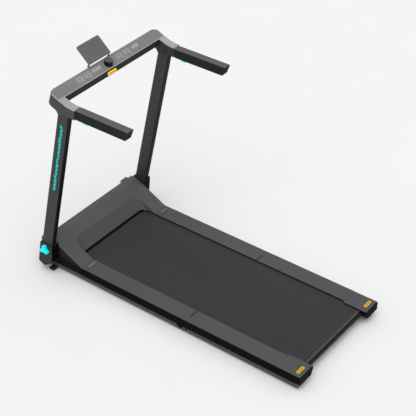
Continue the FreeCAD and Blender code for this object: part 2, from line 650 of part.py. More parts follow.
def console_housing():
    """Console bar: a trough with a sloping open top, closed by the display panel."""
    outer = bar_outline(0, TRIM + 0.1)
    inner = bar_outline(3.0, -8)
    shell = prism_x(outer, -BAR_HALF, BAR_HALF)
    shell = shell.cut(prism_x(inner, -BAR_HALF + 3, BAR_HALF - 3))
    shell = shell.cut(key_shape(2.5, BAR_REAR_Y - 5, BAR_REAR_Y + 9))
    return shell.cut(cyl_x(-BAR_HALF - 1, BAR_HALF + 1, 1262, 975, 6))


def bar_outline(inset, drop):
    """Section of the console bar below its top panel."""
    n = inset
    rear_y, front_y = BAR_REAR_Y + n, BAR_FRONT_Y - n
    slope = math.tan(math.radians(BAR_TILT))
    return [(rear_y + 1, BAR_REAR_Z - drop + n * slope, 0), (front_y, BAR_FRONT_Z - drop
            - n * slope, 0), (BAR_FRONT_Y + 12 - n, 970, 6 - n / 2),
            (BAR_FRONT_Y - 2, 956 + n, 8 - n), (rear_y + 10, 952 + n, 6 - n),
            (rear_y + 4, 960, 3)]


def console_trim():
    """Light trim: arm tops, an edge round each end of the panel and a thin rear line."""
    thin = 4.0
    rear_line = slope_plate(0, thin, -ARM_INNER - 1, ARM_INNER + 1, PANEL_THICK)
    outline = arm_top(0) + list(reversed(arm_top(TRIM)))
    arm = prism_x(outline, ARM_INNER, ARM_OUTER)
    panel_room = slope_plate(thin, BAR_TOP_LENGTH + 6, ARM_INNER - 5, ARM_OUTER - thin,
                             TRIM + 3, 3)
    arm = arm.cut(panel_room)
    corner = corner_cutter(0)
    return fuse([rear_line, arm.cut(corner), mirrored(arm.cut(corner))])


def corner_cutter(inset):
    """What the rounded plan corner removes at the console's front right end."""
    x, y, r = ARM_OUTER - inset, BAR_FRONT_Y, CORNER_R
    slope = V(0, 14, -(BAR_FRONT_Z - 972))
    start = V(x, y - r, BAR_FRONT_Z)
    end = V(x - r, y, BAR_FRONT_Z)
    middle = V(x - r + r * math.sqrt(0.5), y - r + r * math.sqrt(0.5), BAR_FRONT_Z)
    far = [V(x - r, y + 50, BAR_FRONT_Z), V(x + 10, y + 50, BAR_FRONT_Z),
           V(x + 10, y - r, BAR_FRONT_Z), start]
    edges = [Part.Arc(start, middle, end).toShape(), Part.LineSegment(end, far[0]).toShape()]
    edges += [Part.LineSegment(p, q).toShape() for p, q in zip(far, far[1:])]
    face = Part.Face(Part.Wire(edges))
    face.translate(slope * -0.5)
    return face.extrude(slope * 2.2)


def display_panel():
    """Smoked panel on the console's top, with holes for the dial."""
    edge = 4.0
    panel = slope_plate(edge + 0.2, BAR_TOP_LENGTH, -ARM_OUTER + edge + 0.2,
                        ARM_OUTER - edge - 0.2, PANEL_THICK)
    corner = corner_cutter(edge + 0.2)
    panel = panel.cut(corner).cut(mirrored(corner))
    hole = tilted(cyl_z(DIAL_BASE_Z - 30, DIAL_BASE_Z + 30, DIAL_X, DIAL_Y, DIAL_R + 0.8),
                  DIAL_Y, DIAL_BASE_Z, DIAL_TILT)
    return panel.cut(hole)


DIAL_X, DIAL_Y, DIAL_BASE_Z = -7.0, 1254.0, 1000.0
DIAL_R, DIAL_TILT, DIAL_HEIGHT = 19.5, 12.0, 24.0


def dial():
    """Speed dial with a fluted rim and a dished top."""
    body = cyl_z(DIAL_BASE_Z - 6, DIAL_BASE_Z + DIAL_HEIGHT, DIAL_X, DIAL_Y, DIAL_R)
    body = softened(body, 2, lambda p: p.z > DIAL_BASE_Z + DIAL_HEIGHT - 0.01)
    for k in range(36):
        a = math.radians(10 * k)
        x, y = DIAL_X + (DIAL_R + 0.5) * math.cos(a), DIAL_Y + (DIAL_R + 0.5) * math.sin(a)
        body = body.cut(cyl_z(DIAL_BASE_Z - 7, DIAL_BASE_Z + DIAL_HEIGHT - 5, x, y, 0.9))
    body = body.cut(cyl_z(DIAL_BASE_Z + DIAL_HEIGHT - 1, DIAL_BASE_Z + DIAL_HEIGHT + 1, DIAL_X,
                          DIAL_Y, DIAL_R - 4))
    body = body.cut(cyl_z(DIAL_BASE_Z - 7, DIAL_BASE_Z + 8, DIAL_X, DIAL_Y, 3 + RUN_FIT))
    return tilted(body, DIAL_Y, DIAL_BASE_Z, DIAL_TILT)


def encoder():
    """Encoder under the dial, with the spindle that the dial is pushed onto."""
    case = box(DIAL_X - 9, DIAL_X + 9, DIAL_Y - 9, DIAL_Y + 9, DIAL_BASE_Z - 20, DIAL_BASE_Z - 10)
    spindle = cyl_z(DIAL_BASE_Z - 11, DIAL_BASE_Z + 7, DIAL_X, DIAL_Y, 3)
    return tilted(fuse([case, spindle]), DIAL_Y, DIAL_BASE_Z, DIAL_TILT)


def display_board():
    """Circuit board under the display panel, with its digit modules."""
    board = slope_plate(10, 54.5, -290, DIAL_X - 24, 1.6, -12)
    far = slope_plate(10, 54.5, DIAL_X + 24, 290, 1.6, -12)
    link = slope_plate(48, 54.5, DIAL_X - 26, DIAL_X + 26, 1.6, -12)
    digits = [slope_plate(20, 38, x, x + 70, 5, -6.5) for x in (-180, -110, 32, 110)]
    return fuse([board, far, link] + digits)


KEY_X, KEY_Z = -13.0, 974.0
KEY_HALF, KEY_HALF_HEIGHT = 29.0, 7.5


def key_shape(grow, y0, y1):
    """Oval of the safety key, grown by a margin, between two depths."""
    half, high = KEY_HALF + grow, KEY_HALF_HEIGHT + grow
    return prism_y([(KEY_X - half, KEY_Z - high), (KEY_X + half, KEY_Z - high),
                    (KEY_X + half, KEY_Z + high), (KEY_X - half, KEY_Z + high)], y0, y1,
                   high - 0.1)


def key_socket():
    """Recessed magnetic seat for the safety key on the console's rear face."""
    seat = key_shape(2.5, BAR_REAR_Y - 0.5, BAR_REAR_Y + 9)
    return seat.cut(key_shape(0.5, BAR_REAR_Y - 1, BAR_REAR_Y + 6))


def safety_key():
    """Oval safety key that pulls straight out of its seat, with a raised centre."""
    plug = key_shape(0, BAR_REAR_Y - 4, BAR_REAR_Y + 5.5)
    plug = softened(plug, 1.2, lambda p: p.y < BAR_REAR_Y - 3.99)
    return fuse([plug, key_shape(-3.6, BAR_REAR_Y - 5, BAR_REAR_Y - 3)])


REST_X0, REST_X1 = -99.0, 43.0
REST_AXIS_Y, REST_AXIS_Z = BAR_FRONT_Y + 6.5, 1010.5
REST_LEAN = 41.5
REST_FOOT_Y, REST_FOOT_Z, REST_HEIGHT = 1279.6, 1028.6, 95.5


def phone_rest():
    """Hinged plate that holds a phone, on two thin legs above the hinge."""
    y, z = REST_AXIS_Y, REST_AXIS_Z
    foot_y, foot_z = REST_FOOT_Y, REST_FOOT_Z
    leg_side = [(y - 2.5, z), (y - 2.5, z + 9), (foot_y - 1, foot_z - 1), (foot_y + 6, foot_z + 3),
                (y + 2.5, z + 10), (y + 2.5, z)]
    legs, eyes = [], []
    for x in (REST_X0 + 1.5, REST_X1 - 5.5):
        legs.append(prism_x(leg_side, x, x + 4))
        eyes.append(cyl_x(x, x + 4, y, z, 3.5))
    plate = prism_z([(REST_X0, foot_y, 8), (REST_X1, foot_y, 8), (REST_X1, foot_y + REST_HEIGHT, 8),
                     (REST_X0, foot_y + REST_HEIGHT, 8)], foot_z - 4, foot_z)
    lip = box(REST_X0 + 10, REST_X1 - 10, foot_y + 1, foot_y + 3.5, foot_z - 1, foot_z + 2.5)
    body = fuse([tilted(fuse([plate, lip]), foot_y, foot_z, REST_LEAN)] + legs + eyes)
    return body.cut(cyl_x(REST_X0 - 1, REST_X1 + 1, y, z, 1.5 + RUN_FIT))


def bar_front(z):
    """Y of the console bar's front face at a height."""
    top = BAR_FRONT_Z - TRIM - 0.1
    return BAR_FRONT_Y + 12 * (top - z) / (top - 970)


def rest_hinge():
    """Lugs on the console's front and the pins that the phone rest turns on."""
    y, z = REST_AXIS_Y, REST_AXIS_Z
    lugs = []
    for x, pin_x in ((REST_X0 + 6, REST_X0 + 1), (REST_X1 - 14, REST_X1 - 8)):
        side = [(bar_front(z + 1) + 0.1, z + 1), (bar_front(z - 9) + 0.1, z - 9), (y + 1, z - 3),
                (y, z + 1)]
        lugs.append(fuse([prism_x(side, x, x + 8), cyl_x(x, x + 8, y, z, 3.0),
                          cyl_x(pin_x, pin_x + 7, y, z, 1.5)]))
    return group(lugs)


# ---- grips --------------------------------------------------------------------------
def grip():
    """Right-hand grip: a padded bar with eased edges and a fork for the hinge lug."""
    x0, x1 = 310.4, 350.4
    bar = prism_x([(GRIP_FRONT_Y, GRIP_TOP, 2), (GRIP_FRONT_Y, GRIP_PIVOT_Z + 1, 0),
                   (GRIP_FRONT_Y, GRIP_BOTTOM, 9.6), (GRIP_REAR_Y + 18, GRIP_BOTTOM, 6),
                   (GRIP_REAR_Y, GRIP_TOP, 4)], x0, x1)
    long_edges = [e for e in bar.Edges if abs(e.CenterOfMass.z - GRIP_TOP) < 0.1
                  or abs(e.CenterOfMass.z - GRIP_BOTTOM) < 0.1]
    long_edges = [e for e in long_edges if e.Length > 150]
    bar = bar.makeFillet(4.5, long_edges)
    slot = box(LUG_X0 - 0.5, LUG_X1 + 0.5, 1114, GRIP_FRONT_Y + 1, GRIP_BOTTOM - 1,
               GRIP_PIVOT_Z + 32)
    bar = bar.cut(slot)
    bar = bar.cut(cyl_x(x0 + 4, x1 - 4, GRIP_PIVOT_Y, GRIP_PIVOT_Z, GRIP_PIN_R + RUN_FIT))
    return bar.cut(latch_room(0.3))


def grip_pin():
    return cyl_x(314.6, 346.2, GRIP_PIVOT_Y, GRIP_PIVOT_Z, GRIP_PIN_R)


def latch_room(gap):
    """Pocket in the grip's underside that the latch slides in."""
    return box(314 - gap, 347 + gap, 1080 - gap, 1106 + gap, GRIP_BOTTOM - 6, GRIP_BOTTOM + 18)


def grip_latch():
    """Sprung latch button under the grip; it is pushed up to free the hinge."""
    return prism_x([(1080.3, GRIP_BOTTOM - 6, 2), (1105.7, GRIP_BOTTOM - 6, 2),
                    (1105.7, GRIP_BOTTOM + 10), (1080.3, GRIP_BOTTOM + 10)], 314.3, 346.7)


# ---- write --------------------------------------------------------------------------
def sided(name, shape):
    """Left and right nodes of a mirrored piece."""
    return {name + "_right": shape, name + "_left": mirrored(shape)}


def nodes():
    front_cover = rail_cover(FRONT_LIMIT_Y, HOOD_Y - 0.3, skirt_tab=(628, 644))
    rear_cover = rail_cover(120.3, REAR_LIMIT_Y)
    made = {
        "front_frame": front_frame(),
        "front_deck_board": deck_board(SEAM_Y + 2, 1276),
        "front_cushions": cushions(CROSS_FRONT),
        "running_belt_front": belt_half(FRONT_ROLLER_Y, SEAM_Y + 0.5),
        "front_axle": axle(FRONT_ROLLER_Y),
        "front_roller": roller(FRONT_ROLLER_Y),
        "front_bearings": bearing_pair(FRONT_ROLLER_Y),
        "roller_pulley": grooved_pulley(FRONT_ROLLER_Y, ROLLER_Z, ROLLER_PULLEY_R,
                                        AXLE_R + 0.5),
        "motor_pulley": grooved_pulley(MOTOR_Y, MOTOR_Z, MOTOR_PULLEY_R, SHAFT_R),
        "motor_shaft": motor_shaft(),
        "flywheel": flywheel(),
        "motor": motor_can(),
        "drive_belt": drive_belt(),
        "controller": controller(),
        "hood": hood(),
        "hood_screws": group([hood_screw(*place) for place in HOOD_SCREWS]),
        "wheel_fenders": both_sides(wheel_fender()),
        "wheel_axles": both_sides(wheel_axle()),
        "power_sockets": group([power_inlet(), switch_frame()]),
        "power_rocker": rocker(),
        "fold_bumpers": both_sides(fold_bumper()),
        "front_feet": group([both_sides(foot(262, 334, 1368, 1396)),
                             both_sides(foot(262, 298, 620, 656))]),
        "hinge_leaves_front": both_sides(hinge_leaf(True)),
        "hinge_pins": both_sides(hinge_pin()),
        "pivot_bolts": both_sides(pivot_bolt()),
        "rear_frame": rear_frame(),
        "rear_deck_board": deck_board(80, SEAM_Y - 2),
        "rear_cushions": cushions(CROSS_REAR),
        "running_belt_rear": belt_half(REAR_ROLLER_Y, SEAM_Y - 0.5),
        "rear_axle": axle(REAR_ROLLER_Y),
        "rear_roller": roller(REAR_ROLLER_Y),
        "rear_bearings": bearing_pair(REAR_ROLLER_Y),
        "tension_bolts": both_sides(tension_bolt()),
        "end_caps": both_sides(end_cap()),
        "rear_feet": both_sides(foot(262, 298, 44, 84)),
        "hinge_leaves_rear": both_sides(hinge_leaf(False)),
        "console_housing": console_housing(),
        "console_trim": console_trim(),
        "display_panel": display_panel(),
        "display_board": group([display_board(), encoder()]),
        "speed_dial": dial(),
        "key_socket": key_socket(),
        "safety_key": safety_key(),
        "phone_rest": phone_rest(),
        "phone_rest_hinge": rest_hinge(),
        "posts": both_sides(post()),
        "post_boots": both_sides(boot()),
        "shoulder_brackets": both_sides(shoulder_core()),
        "shoulder_covers": both_sides(shoulder_cover()),
        "grip_pins": both_sides(grip_pin()),
    }
    made["front_rail_covers"] = both_sides(front_cover.cut(hinge_notch()))
    made["rear_rail_covers"] = both_sides(rear_cover.cut(hinge_notch()))
    return made


def moving_pairs():
    made = {}
    for name, shape in (("lock_knob", lock_knob()), ("grip", grip()),
                        ("grip_latch", grip_latch()), ("transport_wheel", transport_wheel())):
        made.update(sided(name, shape))
    return made


def main():
    os.makedirs("parts", exist_ok=True)
    made = nodes()
    made.update(moving_pairs())
    for name, shape in sorted(made.items()):
        placed = shape.copy()
        placed.translate(V(0, -OVERALL_LENGTH / 2, 0))
        placed.exportStep("parts/" + name + ".step")
        print(name, "solids", len(placed.Solids), "valid", placed.isValid(),
              "litres", round(placed.Volume / 1e6, 3))


main()
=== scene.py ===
import bmesh
import bpy
import json
import math
import random
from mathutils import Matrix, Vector


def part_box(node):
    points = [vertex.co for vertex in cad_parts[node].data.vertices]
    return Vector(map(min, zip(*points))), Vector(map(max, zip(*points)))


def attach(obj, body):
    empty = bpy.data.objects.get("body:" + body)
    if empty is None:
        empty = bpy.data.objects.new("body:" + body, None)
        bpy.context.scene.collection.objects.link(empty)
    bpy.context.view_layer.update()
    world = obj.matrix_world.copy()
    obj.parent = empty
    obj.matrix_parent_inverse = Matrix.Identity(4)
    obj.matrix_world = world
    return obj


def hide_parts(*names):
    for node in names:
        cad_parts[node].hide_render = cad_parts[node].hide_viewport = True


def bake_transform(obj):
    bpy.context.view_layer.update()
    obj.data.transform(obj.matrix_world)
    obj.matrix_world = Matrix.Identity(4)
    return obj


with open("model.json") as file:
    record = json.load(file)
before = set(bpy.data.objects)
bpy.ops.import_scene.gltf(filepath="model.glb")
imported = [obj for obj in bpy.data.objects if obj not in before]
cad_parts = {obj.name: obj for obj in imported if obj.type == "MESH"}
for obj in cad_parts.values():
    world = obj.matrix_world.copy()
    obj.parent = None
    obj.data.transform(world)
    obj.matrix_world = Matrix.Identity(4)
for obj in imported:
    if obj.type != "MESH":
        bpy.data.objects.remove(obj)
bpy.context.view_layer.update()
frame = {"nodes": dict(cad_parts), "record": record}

# Treadmill: materials for the CAD nodes, one walking belt round both rollers, the printed marks and the
# stage. Metres; +X is the user's right, +Y the way the user faces, +Z up, and the floor is z = 0.
nodes = frame["nodes"]
scene = bpy.context.scene

POST_LEAN = math.radians(12.4)      # the posts lean towards the user
PIVOT_Z = 0.139                     # height of the axis that the posts fold on
PANEL_SLOPE = math.radians(24.0)    # slope of the console's top
EDGE_BAND = 0.0015                  # a cover's dark side starts this far below its top
HOOD_MOUTH = 0.058                  # from the hood's rear end to the mouth that the belt runs into
SIDE_SKIN = 0.0012                  # depth of the hood's outer side that takes the side's colour
BELT_THICK = 0.0018
BELT_HIGHLIGHT = 0.014                  # length at the rear with a painted highlight where the belt turns over the roller
FACING = 0.72                       # cosine from which a face counts as looking along an axis
PRINT_THICK = 0.0003


# ---- material tools -----------------------------------------------------------------
def srgb(r, g, b):
    """Linear colour from 8-bit sRGB values."""
    def lin(c):
        c /= 255.0
        return c / 12.92 if c <= 0.04045 else ((c + 0.055) / 1.055) ** 2.4
    return (lin(r), lin(g), lin(b), 1.0)


class Tree:
    """A material's node tree with short helpers."""

    def __init__(self, name):
        self.mat = bpy.data.materials.new(name)
        self.mat.use_nodes = True
        self.nt = self.mat.node_tree
        self.bsdf = self.nt.nodes["Principled BSDF"]
        self.coord = self.nt.nodes.new("ShaderNodeTexCoord").outputs["Object"]

    def node(self, kind, **inputs):
        made = self.nt.nodes.new(kind)
        for key, value in inputs.items():
            socket = made.inputs[key.replace("_", " ")]
            if isinstance(value, bpy.types.NodeSocket):
                self.nt.links.new(value, socket)
            else:
                socket.default_value = value
        return made

    def link(self, a, b):
        self.nt.links.new(a, b)

    def mapping(self, scale=(1, 1, 1), rotation=(0, 0, 0)):
        m = self.node("ShaderNodeMapping", Vector=self.coord)
        m.inputs["Scale"].default_value = scale
        m.inputs["Rotation"].default_value = rotation
        return m.outputs["Vector"]

    def noise(self, scale, detail=3.0, rough=0.55, vector=None):
        n = self.node("ShaderNodeTexNoise", Vector=vector or self.coord, Scale=scale, Detail=detail)
        n.inputs["Roughness"].default_value = rough
        return n.outputs["Fac"]

    def ramp(self, fac, stops):
        r = self.node("ShaderNodeValToRGB", Fac=fac)
        e = r.color_ramp.elements
        while len(e) < len(stops):
            e.new(0.5)
        for item, (pos, value) in zip(e, stops):
            item.position = pos
            item.color = value if isinstance(value, tuple) else (value, value, value, 1)
        return r.outputs["Color"]

    def math(self, op, a, b=0.0, clamp=False):
        m = self.nt.nodes.new("ShaderNodeMath")
        m.operation, m.use_clamp = op, clamp
        for i, v in enumerate((a, b)):
            if isinstance(v, bpy.types.NodeSocket):
                self.nt.links.new(v, m.inputs[i])
            else:
                m.inputs[i].default_value = v
        return m.outputs[0]

    def mix(self, fac, a, b):
        m = self.nt.nodes.new("ShaderNodeMix")
        m.data_type = "RGBA"
        for socket, v in ((m.inputs[0], fac), (m.inputs[6], a), (m.inputs[7], b)):
            if isinstance(v, bpy.types.NodeSocket):
                self.nt.links.new(v, socket)
            else:
                socket.default_value = v
        return m.outputs[2]

    def bump(self, height, strength, distance, normal=None):
        b = self.node("ShaderNodeBump", Height=height, Strength=strength, Distance=distance)
        if normal:
            self.link(normal, b.inputs["Normal"])
        return b.outputs["Normal"]

    def rounded(self, radius):
        """Normal that reads as softly rounded at hard edges."""
        b = self.nt.nodes.new("ShaderNodeBevel")
        b.samples = 4
        b.inputs["Radius"].default_value = radius
        return b.outputs["Normal"]

    def edge_mask(self, radius, gain=3.0):
        """Near 1 along hard edges, 0 on flat faces."""
        geo = self.nt.nodes.new("ShaderNodeNewGeometry").outputs["Normal"]
        dot = self.nt.nodes.new("ShaderNodeVectorMath")
        dot.operation = "DOT_PRODUCT"
        self.link(self.rounded(radius), dot.inputs[0])
        self.link(geo, dot.inputs[1])
        turned = self.math("SUBTRACT", 1.0, dot.outputs["Value"])
        return self.math("MULTIPLY", turned, gain, clamp=True)

    def facing(self, axes):
        """1 on faces that look along one of the part's own axes, 0 elsewhere."""
        normal = self.nt.nodes.new("ShaderNodeTexCoord").outputs["Normal"]
        parts = self.node("ShaderNodeSeparateXYZ", Vector=normal)
        masks = [self.math("GREATER_THAN", self.math("ABSOLUTE", parts.outputs[a]), FACING)
                 for a in axes]
        return masks[0] if len(masks) == 1 else self.math("MAXIMUM", masks[0], masks[1])

    def place(self, axis):
        """Coordinate along one of the part's own axes, in metres."""
        return self.node("ShaderNodeSeparateXYZ", Vector=self.coord).outputs[axis]

    def finish(self, colour, rough, normal, metallic=0.0, spec=0.5, coat=0.0, coat_rough=0.1):
        for key, v in (("Base Color", colour), ("Roughness", rough), ("Normal", normal),
                       ("Specular IOR Level", spec)):
            socket = self.bsdf.inputs[key]
            if isinstance(v, bpy.types.NodeSocket):
                self.link(v, socket)
            elif v is not None:
                socket.default_value = v
        self.bsdf.inputs["Metallic"].default_value = metallic
        self.bsdf.inputs["Coat Weight"].default_value = coat
        self.bsdf.inputs["Coat Roughness"].default_value = coat_rough
        return self.mat


def shade(colour, k):
    """The colour, k times as bright."""
    return (colour[0] * k, colour[1] * k, colour[2] * k, 1.0)


def moulded(name, colour, rough=0.55, grain=1400.0, depth=0.00005, radius=0.0012, wear_and_highlight=0.25,
            spec=0.4, wall_shade=None, axes="X", below=None):
    """Spark-textured moulded plastic with slightly paler edges, partly worn by handling and partly a
    painted highlight.

    wall_shade is the colour of the faces that look along the given axes and of everything lower than
    below,
    in metres: painted shade by face direction (the dial's paler tops too); on the rails also their black
    sides, and painted shadow in the gap beside the belt.
    """
    t = Tree(name)
    fine = t.noise(grain, 2.0, 0.6)
    cloud = t.noise(7.0, 4.0, 0.6)
    tone = t.ramp(cloud, [(0.3, shade(colour, 0.90)), (0.7, shade(colour, 1.10))])
    speck = t.mix(t.math("MULTIPLY", fine, 0.35), tone, shade(colour, 1.5))
    # paler edges: partly worn, partly a painted highlight along them
    edge = t.math("MULTIPLY", t.edge_mask(radius * 1.2), t.math("MULTIPLY", t.noise(60.0), wear_and_highlight * 2))
    # painted shade by face direction; on the rails partly their black sides, and below the top painted
    # shadow beside the belt
    if wall_shade:
        side = t.facing(axes)
        if below:
            side = t.math("MAXIMUM", side, t.math("LESS_THAN", t.place("Z"), below))
        speck = t.mix(side, speck, t.mix(fine, shade(wall_shade, 0.85), shade(wall_shade, 1.15)))
        edge = t.math("MULTIPLY", edge, t.math("SUBTRACT", 1.0, side))
        spec = t.math("SUBTRACT", spec, t.math("MULTIPLY", side, spec * 0.85))
    base = t.mix(edge, speck, shade(colour, 2.2))
    r = t.math("ADD", t.math("MULTIPLY", cloud, 0.16), rough - 0.08)
    r = t.math("ADD", r, t.math("MULTIPLY", fine, 0.08))
    normal = t.bump(fine, 0.35, depth, t.rounded(radius))
    return t.finish(base, r, normal, spec=spec)


def painted(name, colour, rough=0.38, radius=0.0008, spec=0.45, wall_shade=None, axes="Y", coat=0.12):
    """Powder-coated steel with a faint orange peel and a painted highlight along its edges; wall_shade
    (painted shade by face direction) and axes are as for moulded.
    """
    t = Tree(name)
    peel = t.noise(420.0, 1.0, 0.4)
    cloud = t.noise(5.0, 3.0)
    base = t.ramp(cloud, [(0.3, shade(colour, 0.92)), (0.75, shade(colour, 1.1))])
    # painted highlight along the edges
    edge = t.math("MULTIPLY", t.edge_mask(radius * 1.5), 0.35)
    # painted shade on the faces that look along the given axes
    if wall_shade:
        side = t.facing(axes)
        base = t.mix(side, base, wall_shade)
        spec = t.math("SUBTRACT", spec, t.math("MULTIPLY", side, spec * 0.7))
    base = t.mix(edge, base, shade(colour, 2.2))
    r = t.math("ADD", t.math("MULTIPLY", t.noise(30.0, 4.0), 0.18), rough - 0.09)
    normal = t.bump(peel, 0.22, 0.00012, t.rounded(radius))
    return t.finish(base, r, normal, spec=spec, coat=coat, coat_rough=0.3)


def machined(name, colour, rough=0.3):
    """Turned steel with fine lines round its axis, which runs along X."""
    t = Tree(name)
    lines = t.noise(1.0, 3.0, 0.7, t.mapping(scale=(900, 40, 40)))
    cloud = t.noise(25.0, 4.0)
    base = t.ramp(cloud, [(0.25, shade(colour, 0.8)), (0.75, shade(colour, 1.08))])
    r = t.math("ADD", t.math("MULTIPLY", lines, 0.22), rough - 0.1)
    normal = t.bump(lines, 0.2, 0.00005, t.rounded(0.0004))
    return t.finish(base, r, normal, metallic=1.0)


def rubbery(name, colour, rough=0.8):
    """Matt moulded rubber, cloudy with dust."""
    t = Tree(name)
    fine = t.noise(900.0, 3.0, 0.6)
    cloud = t.noise(14.0, 4.0)
    base = t.ramp(cloud, [(0.3, shade(colour, 0.85)), (0.75, shade(colour, 1.35))])
    r = t.math("ADD", t.math("MULTIPLY", fine, 0.12), rough - 0.06)
    return t.finish(base, r, t.bump(fine, 0.3, 0.0001, t.rounded(0.001)), spec=0.25)


def painted_glow(t, colour, strength):
    """Painted glow: the surface gives off a little light of its own, so it reads brighter than a plain
    colour.
    """
    t.bsdf.inputs["Emission Strength"].default_value = strength
    socket = t.bsdf.inputs["Emission Color"]
    if isinstance(colour, bpy.types.NodeSocket):
        t.link(colour, socket)
    else:
        socket.default_value = colour


def glossy(name, colour, rough=0.22):
    """Smooth moulded bright ABS with a few fine scuffs, a painted glow and a painted highlight on its
    edges.
    """
    t = Tree(name)
    cloud = t.noise(40.0, 3.0)
    scuff = t.noise(260.0, 6.0, 0.75)
    base = t.ramp(cloud, [(0.3, shade(colour, 0.94)), (0.7, shade(colour, 1.0))])
    # painted highlight: the edges blend towards white
    base = t.mix(t.math("MULTIPLY", t.edge_mask(0.0012), 0.3), base, (1, 1, 1, 1))
    r = t.math("ADD", t.math("MULTIPLY", scuff, 0.2), rough - 0.06)
    # painted glow
    painted_glow(t, colour, 0.35)
    return t.finish(base, r, t.bump(scuff, 0.08, 0.00003, t.rounded(0.0012)), spec=0.3)


def hood_material(rail_top, side_x, mouth_y):
    """Hood: grey on top; painted shade darkens its outer sides towards rail level; black at rail level
    (partly the rail's black side, partly painted shadow) and round the belt's mouth (painted shadow).
    """
    t = Tree("hood_plastic")
    fine, cloud = t.noise(1400.0, 2.0, 0.6), t.noise(6.0, 4.0, 0.6)
    grey = srgb(82, 82, 82)
    base = t.ramp(cloud, [(0.3, shade(grey, 0.94)), (0.7, shade(grey, 1.06))])
    base = t.mix(t.math("MULTIPLY", fine, 0.3), base, shade(grey, 1.4))
    z = t.place("Z")
    # painted shade: the outer sides are darker than the top, darkest at rail level
    outer = t.math("GREATER_THAN", t.math("ABSOLUTE", t.place("X")), side_x - SIDE_SKIN)
    side_shade_ramp = t.math("DIVIDE", t.math("SUBTRACT", z, rail_top), 0.07, clamp=True)
    side = t.mix(side_shade_ramp, srgb(24, 24, 24), srgb(50, 50, 50))
    base = t.mix(outer, base, side)
    # black below the rail's top: partly the rail's black side carried on, partly painted shadow beside
    # the belt; black at the mouth is painted shadow
    low = t.math("LESS_THAN", z, rail_top - EDGE_BAND)
    mouth = t.math("MULTIPLY", t.math("LESS_THAN", z, rail_top + 0.003),
                   t.math("GREATER_THAN", t.place("Y"), mouth_y))
    black = t.math("MAXIMUM", low, mouth)
    base = t.mix(black, base, srgb(9, 9, 9))
    # paler edges: partly worn, partly a painted highlight
    edge = t.math("MULTIPLY", t.edge_mask(0.0015), t.math("MULTIPLY", t.noise(60.0), 0.5))
    base = t.mix(edge, base, shade(grey, 1.9))
    spec = t.math("SUBTRACT", 0.3, t.math("MULTIPLY", t.math("MAXIMUM", black, outer), 0.25))
    r = t.math("ADD", t.math("MULTIPLY", cloud, 0.16), 0.44)
    return t.finish(base, r, t.bump(fine, 0.35, 0.00005, t.rounded(0.0015)), spec=spec)


def key_material(front):
    """Safety key: yellow rim round an orange raised centre, with a faint painted glow; front is the
    rim's face in metres.
    """
    t = Tree("key_plastic")
    centre = t.math("LESS_THAN", t.place("Y"), front)
    scuff = t.noise(260.0, 6.0, 0.75)
    base = t.mix(centre, srgb(250, 212, 40), srgb(255, 105, 14))
    base = t.mix(t.math("MULTIPLY", scuff, 0.1), base, srgb(255, 190, 60))
    r = t.math("ADD", t.math("MULTIPLY", scuff, 0.2), 0.3)
    # painted glow
    painted_glow(t, base, 0.45)
    return t.finish(base, r, t.bump(scuff, 0.08, 0.00003, t.rounded(0.0008)), spec=0.3)


def belt_material(highlight_y, top_z):
    """Black rubber belt: fine crossed ribs and a worn, dusty lane, a painted highlight where it turns
    over the rear roller and painted shade on everything lower than its top.
    """
    t = Tree("walking_belt")
    ribs = []
    for turn in (45, -45):
        w = t.node("ShaderNodeTexWave", Vector=t.mapping(rotation=(0, 0, math.radians(turn))),
                   Scale=95.0, Distortion=0.0)
        ribs.append(w.outputs["Fac"])
    lattice = t.math("MAXIMUM", ribs[0], ribs[1])
    fine = t.noise(1500.0, 2.0)
    lane = t.noise(1.0, 4.0, 0.6, t.mapping(scale=(9, 0.8, 1)))
    tone = t.ramp(lane, [(0.3, srgb(46, 46, 46)), (0.7, srgb(52, 52, 52))])
    base = t.mix(t.math("MULTIPLY", lattice, 0.22), tone, srgb(66, 66, 66))
    z, y = t.place("Z"), t.place("Y")
    # painted highlight along the top of the rear roller, where the belt turns over
    crest_highlight = t.math("MULTIPLY", t.math("LESS_THAN", y, highlight_y), t.math("GREATER_THAN", z, top_z - 0.004))
    base = t.mix(t.math("MULTIPLY", crest_highlight, 0.7), base, srgb(92, 92, 92))
    # painted shade: everything more than 6 mm below the belt's top, the rear wrap and lower run, is
    # nearly black
    base = t.mix(t.math("LESS_THAN", z, top_z - 0.006), base, srgb(14, 14, 14))
    r = t.math("ADD", t.math("MULTIPLY", lattice, 0.12), 0.62)
    height = t.math("ADD", lattice, t.math("MULTIPLY", fine, 0.4))
    return t.finish(base, r, t.bump(height, 0.45, 0.0003), spec=0.3)


def board_material():
    """Edge-sealed laminated board: grain along the deck."""
    t = Tree("deck_board")
    grain = t.noise(1.0, 6.0, 0.6, t.mapping(scale=(70, 5, 260)))
    base = t.ramp(grain, [(0.3, srgb(96, 68, 44)), (0.6, srgb(142, 106, 70)),
                          (0.8, srgb(120, 88, 58))])
    return t.finish(base, t.math("ADD", t.math("MULTIPLY", grain, 0.2), 0.5),
                    t.bump(grain, 0.2, 0.0002))


def circuit_material():
    """Green solder mask over faint tracks."""
    t = Tree("circuit")
    tracks = t.node("ShaderNodeTexBrick", Vector=t.mapping(scale=(60, 60, 60)), Scale=4.0)
    tracks.inputs["Color1"].default_value = srgb(18, 70, 42)
    tracks.inputs["Color2"].default_value = srgb(22, 82, 50)
    tracks.inputs["Mortar"].default_value = srgb(40, 110, 66)
    base = t.mix(t.noise(50.0), tracks.outputs["Color"], srgb(16, 60, 38))
    return t.finish(base, t.math("ADD", t.math("MULTIPLY", t.noise(120.0), 0.2), 0.35),
                    t.bump(tracks.outputs["Fac"], 0.2, 0.0001))


